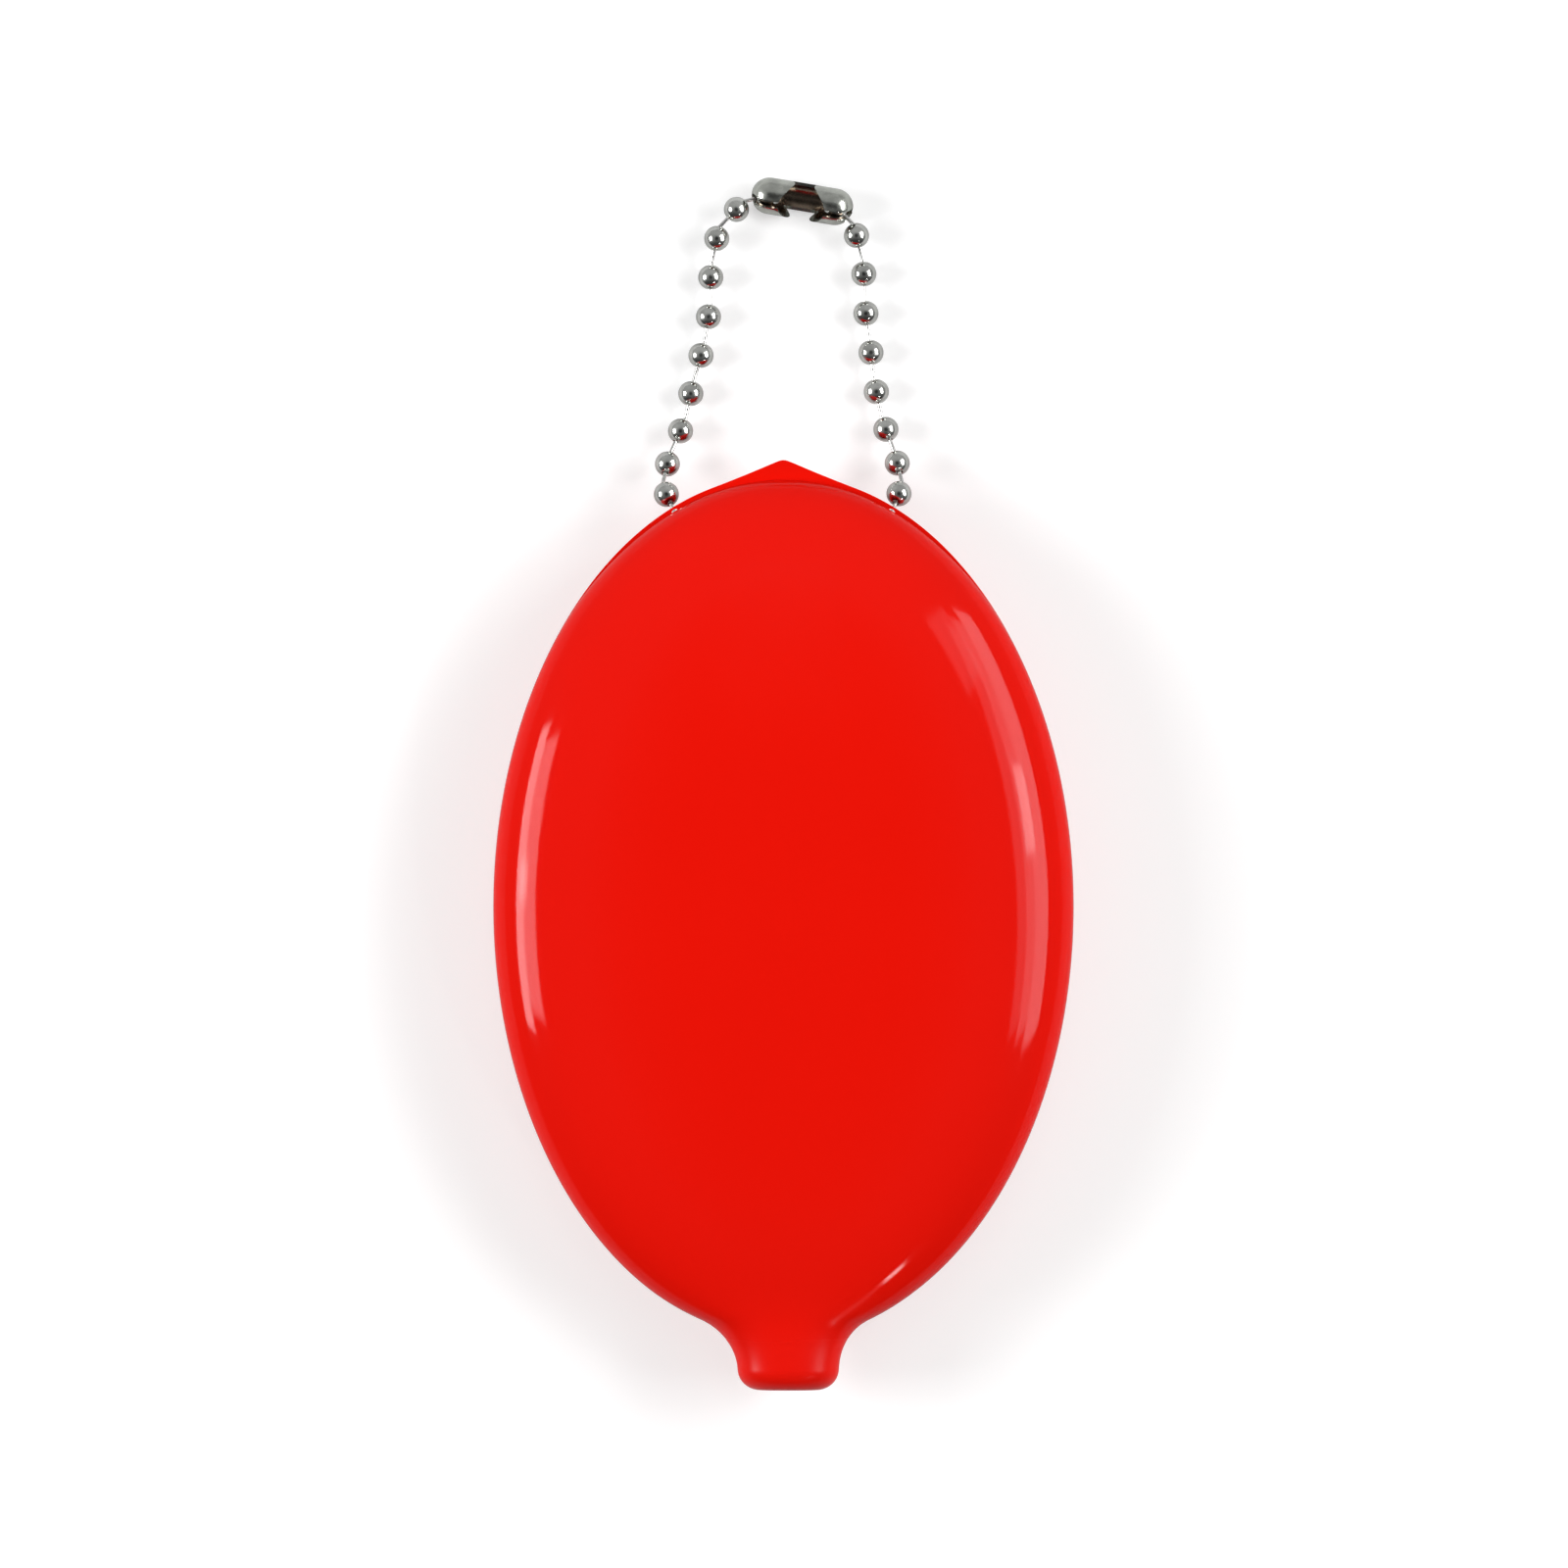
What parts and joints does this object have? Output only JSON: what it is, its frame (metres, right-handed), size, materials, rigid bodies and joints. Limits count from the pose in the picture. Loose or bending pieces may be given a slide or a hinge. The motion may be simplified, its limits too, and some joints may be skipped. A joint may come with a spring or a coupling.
{
  "type": "squeeze coin purse",
  "caption": "Oval squeeze coin purse of glossy red vinyl with a slit back, a short neck and a peak, on a loop of steel ball chain closed by a coupling.",
  "frame": {"origin": "under the middle of the oval, on the plane that the back of the purse lies on", "axes": "+X across the pouch to the right as seen from the front, +Y along it towards the ball chain, +Z from the slit back to the smooth front"},
  "size_m": [0.055, 0.1151, 0.015],
  "materials": {
    "vinyl": "gloss",
    "bead_steel": "polished",
    "link_steel": "satin",
    "coupling_steel": "polished"
  },
  "bodies": {
    "purse": {"front_shell": "vinyl", "bead_11": "bead_steel", "bead_12": "bead_steel", "bead_13": "bead_steel", "bead_14": "bead_steel", "bead_15": "bead_steel", "bead_16": "bead_steel", "bead_17": "bead_steel", "link_10": "link_steel", "link_11": "link_steel", "link_12": "link_steel", "link_13": "link_steel", "link_14": "link_steel", "link_15": "link_steel", "link_16": "link_steel", "link_17": "link_steel"},
    "left_row_0": {"bead_10": "bead_steel", "link_09": "link_steel"},
    "left_row_1": {"bead_09": "bead_steel", "link_08": "link_steel"},
    "left_row_2": {"bead_08": "bead_steel", "link_07": "link_steel"},
    "left_row_3": {"bead_07": "bead_steel", "link_06": "link_steel"},
    "left_row_4": {"bead_06": "bead_steel", "link_05": "link_steel"},
    "left_row_5": {"bead_05": "bead_steel", "link_04": "link_steel"},
    "left_row_6": {"bead_04": "bead_steel", "link_03": "link_steel"},
    "left_row_7": {"bead_03": "bead_steel", "link_02": "link_steel"},
    "right_row_0": {"bead_18": "bead_steel", "link_18": "link_steel"},
    "right_row_1": {"bead_19": "bead_steel", "link_19": "link_steel"},
    "right_row_2": {"bead_20": "bead_steel", "link_20": "link_steel"},
    "right_row_3": {"bead_21": "bead_steel", "link_21": "link_steel"},
    "right_row_4": {"bead_22": "bead_steel", "link_22": "link_steel"},
    "right_row_5": {"bead_23": "bead_steel", "link_23": "link_steel"},
    "right_row_6": {"bead_24": "bead_steel", "link_24": "link_steel"},
    "right_row_7": {"bead_25": "bead_steel", "link_25": "link_steel"},
    "coupling_set": {"bead_02": "bead_steel", "link_01": "link_steel", "bead_01": "bead_steel", "coupling": "coupling_steel", "bead_26": "bead_steel"},
    "left_lip": {"left_lip": "vinyl"},
    "right_lip": {"right_lip": "vinyl"}
  },
  "joints": [
    {"name": "left_curl_0", "type": "hinge", "parent": "purse", "child": "left_row_0", "pos_m": [-0.01072, 0.03821, 0.00566], "axis": [1, 0.0017, 0], "range_deg": [-25, 20]},
    {"name": "left_curl_1", "type": "hinge", "parent": "left_row_0", "child": "left_row_1", "pos_m": [-0.01122, 0.04118, 0.00367], "axis": [1, 0.0039, 0], "range_deg": [-25, 20]},
    {"name": "left_curl_2", "type": "hinge", "parent": "left_row_1", "child": "left_row_2", "pos_m": [-0.01022, 0.04424, 0.00187], "axis": [1, 0.0062, 0], "range_deg": [-25, 20]},
    {"name": "left_curl_3", "type": "hinge", "parent": "left_row_2", "child": "left_row_3", "pos_m": [-0.00904, 0.04769, 0.00125], "axis": [0.9999, 0.01, 0], "range_deg": [-25, 20]},
    {"name": "left_curl_4", "type": "hinge", "parent": "left_row_3", "child": "left_row_4", "pos_m": [-0.00815, 0.05134, 0.00125], "axis": [0.9999, 0.0141, 0], "range_deg": [-25, 20]},
    {"name": "left_curl_5", "type": "hinge", "parent": "left_row_4", "child": "left_row_5", "pos_m": [-0.00731, 0.055, 0.00125], "axis": [0.9998, 0.0203, 0], "range_deg": [-25, 20]},
    {"name": "left_curl_6", "type": "hinge", "parent": "left_row_5", "child": "left_row_6", "pos_m": [-0.00694, 0.05873, 0.00135], "axis": [0.9998, 0.0216, 0], "range_deg": [-25, 20]},
    {"name": "left_curl_7", "type": "hinge", "parent": "left_row_6", "child": "left_row_7", "pos_m": [-0.00657, 0.06244, 0.0017], "axis": [0.9998, 0.0215, 0], "range_deg": [-25, 20]},
    {"name": "right_curl_0", "type": "hinge", "parent": "purse", "child": "right_row_0", "pos_m": [0.01063, 0.03825, 0.00566], "axis": [1, 0.0017, 0], "range_deg": [-25, 20]},
    {"name": "right_curl_1", "type": "hinge", "parent": "right_row_0", "child": "right_row_1", "pos_m": [0.01101, 0.04127, 0.00367], "axis": [1, 0.0039, 0], "range_deg": [-25, 20]},
    {"name": "right_curl_2", "type": "hinge", "parent": "right_row_1", "child": "right_row_2", "pos_m": [0.0101, 0.04437, 0.00187], "axis": [1, 0.0062, 0], "range_deg": [-25, 20]},
    {"name": "right_curl_3", "type": "hinge", "parent": "right_row_2", "child": "right_row_3", "pos_m": [0.00906, 0.04787, 0.00125], "axis": [0.9999, 0.01, 0], "range_deg": [-25, 20]},
    {"name": "right_curl_4", "type": "hinge", "parent": "right_row_3", "child": "right_row_4", "pos_m": [0.00844, 0.05158, 0.00125], "axis": [0.9999, 0.0141, 0], "range_deg": [-25, 20]},
    {"name": "right_curl_5", "type": "hinge", "parent": "right_row_4", "child": "right_row_5", "pos_m": [0.00799, 0.05531, 0.00125], "axis": [0.9998, 0.0203, 0], "range_deg": [-25, 20]},
    {"name": "right_curl_6", "type": "hinge", "parent": "right_row_5", "child": "right_row_6", "pos_m": [0.00766, 0.05905, 0.00135], "axis": [0.9998, 0.0216, 0], "range_deg": [-25, 20]},
    {"name": "right_curl_7", "type": "hinge", "parent": "right_row_6", "child": "right_row_7", "pos_m": [0.00722, 0.06273, 0.0017], "axis": [0.9998, 0.0215, 0], "range_deg": [-25, 20]},
    {"name": "coupling_swing", "type": "hinge", "parent": "left_row_7", "child": "coupling_set", "pos_m": [-0.00523, 0.06547, 0.002], "axis": [0.9997, 0.0229, -0.0099], "range_deg": [-20, 20]},
    {"name": "left_lip_bend", "type": "hinge", "parent": "purse", "child": "left_lip", "pos_m": [-0.017, 0, 0.00087], "axis": [0, 1, 0], "range_deg": [0, 55], "stiffness_Nm_per_rad": 0.02},
    {"name": "right_lip_bend", "type": "hinge", "parent": "purse", "child": "right_lip", "pos_m": [0.017, 0, 0.00087], "axis": [0, 1, 0], "range_deg": [-55, 0], "stiffness_Nm_per_rad": 0.02}
  ],
  "couplings": [
    {"joint": "right_curl_0", "follows": "left_curl_0", "ratio": 1},
    {"joint": "right_curl_1", "follows": "left_curl_1", "ratio": 1},
    {"joint": "right_curl_2", "follows": "left_curl_2", "ratio": 1},
    {"joint": "right_curl_3", "follows": "left_curl_3", "ratio": 1},
    {"joint": "right_curl_4", "follows": "left_curl_4", "ratio": 1},
    {"joint": "right_curl_5", "follows": "left_curl_5", "ratio": 1},
    {"joint": "right_curl_6", "follows": "left_curl_6", "ratio": 1},
    {"joint": "right_curl_7", "follows": "left_curl_7", "ratio": 1},
    {"joint": "right_lip_bend", "follows": "left_lip_bend", "ratio": -1}
  ]
}
